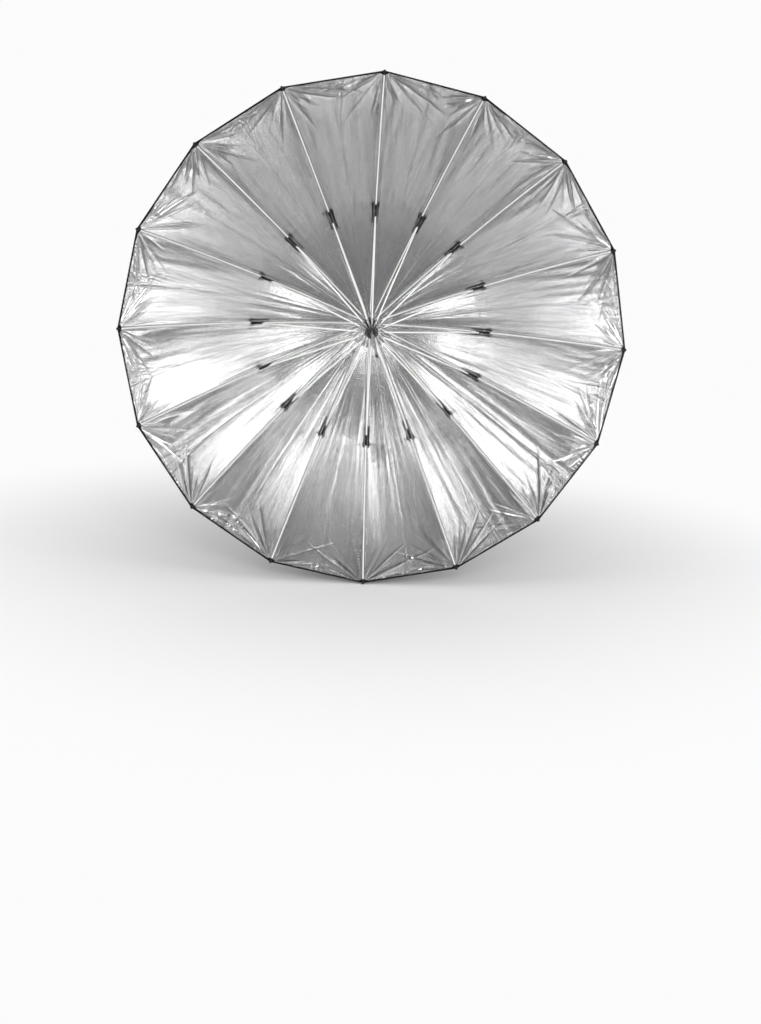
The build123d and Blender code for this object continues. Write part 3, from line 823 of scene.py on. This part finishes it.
def gore_surface(gore, s, v):
    """Points of one gore's inner face, and its normals, which point out of the bowl."""
    step_s, step_v = 0.5 * MM, 0.002
    here = relieved_surface(gore, s, v)
    down = relieved_surface(gore, s + step_s, v) - relieved_surface(gore, s - step_s, v)
    across = relieved_surface(gore, s, v + step_v) - relieved_surface(gore, s, v - step_v)
    normal = np.cross(down, across)
    normal /= np.linalg.norm(normal, axis=-1, keepdims=True)
    outward = bare_surface(gore, s, v)[1]
    flip = np.sign(np.sum(normal * outward, axis=-1, keepdims=True))
    return here, normal * flip


ON_BAND = np.array([0, 0.5, 1.0]) * BAND_HALF
NEAR_MIDDLE = np.array([6.0, 4.0, 2.5, 1.2, 0]) * MM


def half_gore(s):
    """Half the width of a gore at distance s, measured straight across."""
    return cloth_profile(s)[0] * math.sin(HALF_GORE)


def band_columns(s):
    """Distances from the rib of the columns on the narrow band that lies over it, for each row."""
    return ON_BAND[None, :] * np.minimum(1, half_gore(s) / (1.4 * BAND_HALF))[:, None]


def mirrored(columns):
    """Distances on both sides of the rib from those on its right."""
    return np.concatenate([-columns[:, :0:-1], columns], axis=1)


def side_columns(s, count):
    """Distances from the rib of the columns between the band and the middle of the gore, for each row."""
    half = half_gore(s)[:, None]
    start = band_columns(s)[:, -1:]
    near_middle = half - NEAR_MIDDLE[None, :] * np.minimum(1, (half - start) / (20 * MM))
    share = (np.arange(count + 1) / (count + 1))[None, :]
    plain = start + (near_middle[:, :1] - start) * share
    return np.concatenate([plain, near_middle], axis=1)


def row_step(to_hem):
    """How far apart the grid's rows are, closer near the hem, where the folds are."""
    if to_hem < 190 * MM:
        return 2.3 * MM
    return 4.2 * MM if to_hem < 480 * MM else 6 * MM


def column_count(end):
    """How many columns a stretch of side cloth has, from how far out it ends."""
    if end == CLOTH_END:
        return 44
    return 12 if end < 200 * MM else 28


def grid_rows(start, end):
    """Distances s of the grid's rows between two cuts."""
    stops = [start]
    while stops[-1] < end:
        stops.append(stops[-1] + row_step(CLOTH_END - stops[-1]))
    return start + (np.array(stops) - start) * (end - start) / (stops[-1] - start)


def strip_grid(arm, rows, distance):
    """Points and normals of one arm's cloth. distance is measured from the rib, negative on its left."""
    share = np.abs(distance) / (2 * half_gore(rows))
    right = gore_surface(arm, rows, share)
    left = gore_surface(arm - 1, rows, 1 - share)
    on_right = (distance > 0)[..., None]
    points = np.where(on_right, right[0], left[0])
    at_rib = (np.abs(distance) < 1e-9)[..., None]
    normals = np.where(at_rib, right[1] + left[1], np.where(on_right, right[1], left[1]))
    return points, normals / np.linalg.norm(normals, axis=-1, keepdims=True)


SILVER_SLOT, BLACK_SLOT, BINDING_SLOT = range(3)


class Cloth:
    """A strip's mesh under construction, with a normal and two UV pairs for every corner of every face."""

    def __init__(self):
        self.points = []
        self.faces = []
        self.normals = []
        self.across = []
        self.along = []
        self.materials = []

    def add_points(self, points):
        first = len(self.points)
        self.points.extend(points.reshape(-1, 3).tolist())
        return first

    def add_grid(self, index, normals, across, along, material, flip):
        """Quads over a grid of point numbers; the other arrays hold values for the same grid."""
        a, b = index[:-1, :-1], index[:-1, 1:]
        c, d = index[1:, 1:], index[1:, :-1]
        order = [a, d, c, b] if flip else [a, b, c, d]
        self.faces.extend(np.stack(order, axis=-1).reshape(-1, 4).tolist())
        for store, values in ((self.normals, normals), (self.across, across), (self.along, along)):
            w, x = values[:-1, :-1], values[:-1, 1:]
            y, z = values[1:, 1:], values[1:, :-1]
            corners = [w, z, y, x] if flip else [w, x, y, z]
            store.extend(np.stack(corners, axis=2).reshape(-1, values.shape[-1]).tolist())
        self.materials.extend([material] * a.size)

    def piece(self, name):
        mesh = bpy.data.meshes.new(name)
        mesh.from_pydata(self.points, [], self.faces)
        for label, values in (("Across", self.across), ("Along", self.along)):
            layer = mesh.uv_layers.new(name=label)
            layer.data.foreach_set("uv", np.asarray(values, np.float32).ravel())
        for material in (SILVER, BLACK_CLOTH, BINDING):
            mesh.materials.append(material)
        mesh.polygons.foreach_set("material_index", self.materials)
        mesh.polygons.foreach_set("use_smooth", [True] * len(mesh.polygons))
        mesh.normals_split_custom_set(self.normals)
        made = bpy.data.objects.new(name, mesh)
        bpy.context.scene.collection.objects.link(made)
        return made


BINDING_SECTION = [
    (-4.6, 0.0),
    (-4.4, -0.5),
    (-0.2, -0.6),
    (0.7, -0.1),
    (0.7, 0.6),
    (-0.2, 1.1),
    (-4.4, 1.0),
    (-4.6, 0.5),
]
CORNER_REACH = 11 * MM
CORNER_WIDTH = 8 * MM


def uv_pair(first, second):
    return np.stack([first, second], axis=-1)


def cloth_uvs(rows, distance):
    """(across, from the middle) and (along, from the hem) for every point."""
    from_middle = half_gore(rows) - np.abs(distance)
    return uv_pair(distance, from_middle), uv_pair(rows, CLOTH_END - rows)


def add_sheet(cloth, arm, s, distance):
    """The two skins of a stretch of cloth and the narrow walls that close it."""
    rows = np.repeat(s[:, None], distance.shape[1], axis=1)
    points, normals = strip_grid(arm, rows, distance)
    outside = points + normals * CLOTH_THICKNESS
    numbers = np.arange(rows.size).reshape(rows.shape)
    inner = cloth.add_points(points) + numbers
    outer = cloth.add_points(outside) + numbers
    parts = cloth_uvs(rows, distance)
    cloth.add_grid(inner, -normals, *parts, SILVER_SLOT, False)
    cloth.add_grid(outer, normals, *parts, BLACK_SLOT, True)
    a, b = parts
    walls = (
        (inner[0], outer[0], a[0], b[0], True),
        (inner[-1], outer[-1], a[-1], b[-1], False),
        (inner[:, 0], outer[:, 0], a[:, 0], b[:, 0], False),
        (inner[:, -1], outer[:, -1], a[:, -1], b[:, -1], True),
    )
    for low, high, first, second, flip in walls:
        flat = np.zeros((2, len(low), 3))
        pairs = [np.stack([grid, grid]) for grid in (first, second)]
        cloth.add_grid(np.stack([low, high]), flat, *pairs, BLACK_SLOT, flip)


def add_binding(cloth, arm, distance):
    """The tape folded over the hem, wider at the corner, where it is sewn over the rib's cap."""
    section = np.array(BINDING_SECTION) * MM
    corner = np.exp(-((distance / CORNER_WIDTH) ** 2))
    widen = 1 + corner * CORNER_REACH / -section[0, 0]
    inside_hem = np.where(section[:, 0] < -1 * MM, 1.0, 0.0)[:, None]
    rows = CLOTH_END + section[:, :1] * (1 + (widen[None, :] - 1) * inside_hem)
    across = np.repeat(distance[None, :], len(section), axis=0) * half_gore(rows) / half_gore(CLOTH_END)
    points, normals = strip_grid(arm, rows, across)
    skin = points + normals * section[:, 1][:, None, None]
    numbers = np.arange(rows.size).reshape(rows.shape)
    index = cloth.add_points(skin) + numbers
    uvs = cloth_uvs(rows, across)
    loop = [np.concatenate([grid, grid[:1]]) for grid in uvs]
    index = np.concatenate([index, index[:1]])
    cloth.add_grid(index, np.zeros(index.shape + (3,)), *loop, BINDING_SLOT, False)
    for column, flip in ((0, True), (-1, False)):
        ring = index[:-1, column]
        half_count = len(ring) // 2
        pair = np.stack([ring[:half_count], ring[::-1][:half_count]])
        flat = np.zeros(pair.shape + (3,))
        edges = [grid[:, column] for grid in uvs]
        parts = [np.stack([edge[:half_count], edge[::-1][:half_count]]) for edge in edges]
        cloth.add_grid(pair, flat, *parts, BINDING_SLOT, flip)


def add_crown_patch(arm):
    """The middle of an arm's cloth, clamped at the crown and lifted by the rib."""
    rows = np.linspace(CLOTH_START, CROWN_PATCH_END, 10)
    sides = side_columns(rows, 3)[:, 1:]
    columns = [-sides[:, ::-1], mirrored(band_columns(rows)), sides]
    cloth = Cloth()
    add_sheet(cloth, arm, rows, np.concatenate(columns, axis=1))
    patch = cloth.piece(f"canopy_crown_{arm + 1:02d}")
    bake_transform(patch)
    if arm == 0:
        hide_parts("canopy")


def add_band(arm):
    """The narrow band of cloth sewn over a rib; it rides on no body."""
    rows = np.concatenate([grid_rows(CROWN_PATCH_END, FLEX_S)[:-1], grid_rows(FLEX_S, CLOTH_END)])
    cloth = Cloth()
    add_sheet(cloth, arm, rows, mirrored(band_columns(rows)))
    add_binding(cloth, arm, mirrored(band_columns(rows[-1:]))[0])
    bend_at_flex(cloth.piece(f"canopy_band_{arm + 1:02d}"))


def add_sides(arm, side, label):
    """The cloth between a band and the middle of the gore, in stretches, each riding on the inner or outer
    half of its rib.
    """
    tag = f"{arm + 1:02d}"
    stops = [CROWN_PATCH_END, *INNER_CUTS, FLEX_S, *OUTER_CUTS, CLOTH_END]
    for number, (start, end) in enumerate(zip(stops[:-1], stops[1:]), 1):
        rows = grid_rows(start, end)
        columns = side_columns(rows, column_count(end))
        if side < 0:
            columns = -columns[:, ::-1]
        cloth = Cloth()
        add_sheet(cloth, arm, rows, columns)
        if end == CLOTH_END:
            add_binding(cloth, arm, columns[-1])
        piece = cloth.piece(f"canopy_{tag}_{label}_{number}")
        half = "outer" if start >= FLEX_S else "inner"
        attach(piece, f"rib_{half}_{tag}")
        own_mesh(piece)


def build_canopy():
    """Each arm's strip of cloth: a patch at the crown, a band along the rib, and the sides."""
    for arm in range(ARM_COUNT):
        add_crown_patch(arm)
        add_band(arm)
        add_sides(arm, -1, "left")
        add_sides(arm, 1, "right")


def dress_frame_nodes():
    """Node materials for the CAD pieces that are shown as they are."""
    looks = {
        "shaft": TUBE_STEEL,
        "shaft_end_plug": PLASTIC,
        "crown": PLASTIC,
        "crown_cap": PLASTIC,
        "crown_wire": WIRE_STEEL,
        "crown_pin": WIRE_STEEL,
        "canopy_washer": WIRE_STEEL,
        "catch_pin": WIRE_STEEL,
        "runner": PLASTIC,
        "runner_wire": WIRE_STEEL,
        "runner_catch": WIRE_STEEL,
    }
    for name, material in looks.items():
        node = frame["nodes"][name]
        node.data.materials.clear()
        node.data.materials.append(material)


# Floor, light and camera

FLOOR_GAP = 2 * MM
FLOOR_RADIUS = 14.0
FLOOR_MIDDLE_Y = 0.65
LENS = 42.2
CAMERA_PLACE = (-0.0719, -2.6897, 0.2833)
CAMERA_PITCH = math.radians(-13.39)
CAMERA_YAW = math.radians(-2.05)
CAMERA_ROLL = math.radians(2.6)
BACKGROUND = 0.97
FLOOR_PAINTED_SHADE_IN_MIRROR = 0.2
SOFTBOX_PLACE = (0.15, -2.95, 1.25)
SOFTBOX_SIZE = (1.7, 1.0)
SOFTBOX_RADIANCE = 9.0
PANEL_PLACE = (2.3, -0.8, 0.2)
PANEL_SIZE = (0.6, 2.0)
PANEL_RADIANCE = 5.2
ROOM_FILL = 0.7
ROOM_SHADES = [(75, 0.22), (60, 0.06), (38, 0.05), (26, 0.09), (16, 0.14), (8, 1.7)]


def pale_floor():
    """Pale matt floor that fades into the plain background with distance from the object; in reflections it
    shows a dark colour instead, a painted shade.
    """
    paint = Paint("pale_floor")
    parts = paint.node("ShaderNodeSeparateXYZ", {0: paint.coordinate()})
    flat = paint.vector(parts.outputs[0], paint.math("SUBTRACT", parts.outputs[1], FLOOR_MIDDLE_Y))
    distance = paint.node("ShaderNodeVectorMath", {0: flat}, operation="LENGTH").outputs["Value"]
    far = paint.ramp(distance, 0.45, 1.7)
    cloud = paint.noise(paint.coordinate(), 1.5, 3.0, 0.5)
    colour = paint.mix(cloud, grey(0.83), grey(0.86))
    path = paint.node("ShaderNodeLightPath").outputs
    # Painted shade: seen in reflections, the floor is coloured dark grey, standing in for floor that lies in
    # shade.
    colour = paint.mix(path["Is Glossy Ray"], colour, grey(FLOOR_PAINTED_SHADE_IN_MIRROR))
    material = paint.finish(Base_Color=colour, Roughness=0.9)
    seen = path["Is Camera Ray"]
    glow = paint.node("ShaderNodeEmission", {"Color": grey(BACKGROUND), "Strength": 1.0})
    blend = paint.node("ShaderNodeMixShader", {0: paint.times(far, seen)})
    paint.tree.links.new(paint.shader.outputs[0], blend.inputs[1])
    paint.tree.links.new(glow.outputs[0], blend.inputs[2])
    output = next(node for node in paint.tree.nodes if node.type == "OUTPUT_MATERIAL")
    paint.tree.links.new(blend.outputs[0], output.inputs["Surface"])
    return material


def build_stage(lowest):
    """A wide round floor just under the object."""
    level = lowest - FLOOR_GAP
    corners = [2 * math.pi * i / 64 for i in range(64)]
    points = [(FLOOR_RADIUS * math.cos(a), FLOOR_RADIUS * math.sin(a), level) for a in corners]
    mesh = bpy.data.meshes.new("floor")
    mesh.from_pydata(points, [], [list(range(len(points)))])
    mesh.materials.append(pale_floor())
    made = bpy.data.objects.new("floor", mesh)
    bpy.context.scene.collection.objects.link(made)
    made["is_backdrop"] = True


def area_light(name, place, target, width, height, radiance):
    """A soft rectangular light that the camera doesn't see."""
    data = bpy.data.lights.new(name, "AREA")
    data.shape = "RECTANGLE"
    data.size, data.size_y = width, height
    data.energy = radiance * math.pi * width * height
    made = bpy.data.objects.new(name, data)
    made.location = place
    made.rotation_euler = (Vector(target) - Vector(place)).to_track_quat("-Z", "Y").to_euler()
    made.visible_camera = False
    bpy.context.scene.collection.objects.link(made)
    made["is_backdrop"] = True


def studio_world():
    """White behind the object as the camera sees it; otherwise a room that is dim on the camera's side."""
    world = bpy.data.worlds.new("studio")
    world.use_nodes = True
    tree = world.node_tree
    room = tree.nodes["Background"]
    room.inputs["Color"].default_value = (1.0, 1.0, 1.0, 1.0)
    parts = tree.nodes.new("ShaderNodeSeparateXYZ")
    tree.links.new(tree.nodes.new("ShaderNodeTexCoord").outputs["Generated"], parts.inputs[0])
    forward = tree.nodes.new("ShaderNodeMath")
    forward.operation = "MULTIPLY"
    forward.inputs[1].default_value = -1.0
    tree.links.new(parts.outputs[1], forward.inputs[0])
    shade = tree.nodes.new("ShaderNodeValToRGB")
    tree.links.new(forward.outputs[0], shade.inputs[0])
    stops = shade.color_ramp.elements
    while len(stops) < len(ROOM_SHADES):
        stops.new(0.5)
    for stop, (degrees, value) in zip(stops, ROOM_SHADES):
        stop.position = math.cos(math.radians(degrees))
        stop.color = (value, value, value, 1.0)
    path = tree.nodes.new("ShaderNodeLightPath")
    strength = tree.nodes.new("ShaderNodeMix")
    strength.inputs[2].default_value = ROOM_FILL
    tree.links.new(path.outputs["Is Glossy Ray"], strength.inputs[0])
    tree.links.new(shade.outputs[0], strength.inputs[3])
    tree.links.new(strength.outputs[0], room.inputs["Strength"])
    backdrop = tree.nodes.new("ShaderNodeBackground")
    backdrop.inputs["Color"].default_value = grey(BACKGROUND)
    choose = tree.nodes.new("ShaderNodeMixShader")
    tree.links.new(path.outputs["Is Camera Ray"], choose.inputs[0])
    tree.links.new(room.outputs[0], choose.inputs[1])
    tree.links.new(backdrop.outputs[0], choose.inputs[2])
    tree.links.new(choose.outputs[0], tree.nodes["World Output"].inputs["Surface"])
    bpy.context.scene.world = world


def build_light():
    """A softbox above the camera, mirrored twice in the bowl, and a panel at either side, mirrored once."""
    middle = (0, CROWN_Y * 0.6, 0)
    area_light("softbox", SOFTBOX_PLACE, middle, *SOFTBOX_SIZE, SOFTBOX_RADIANCE)
    x, y, z = PANEL_PLACE
    area_light("panel_left", (-x, y, z), middle, *PANEL_SIZE, PANEL_RADIANCE)
    area_light("panel_right", (x, y, z), middle, *PANEL_SIZE, PANEL_RADIANCE)
    studio_world()


def build_camera():
    data = bpy.data.cameras.new("camera")
    data.lens = LENS
    made = bpy.data.objects.new("camera", data)
    made.location = CAMERA_PLACE
    turn = Matrix.Rotation(CAMERA_YAW, 4, "Z") @ Matrix.Rotation(math.pi / 2 + CAMERA_PITCH, 4, "X")
    made.rotation_euler = (turn @ Matrix.Rotation(CAMERA_ROLL, 4, "Z")).to_euler()
    bpy.context.scene.collection.objects.link(made)
    bpy.context.scene.camera = made
    bpy.context.scene.view_settings.view_transform = "Standard"


build_arms()
build_canopy()
dress_frame_nodes()
build_stage(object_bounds()[0].z)
build_light()
build_camera()
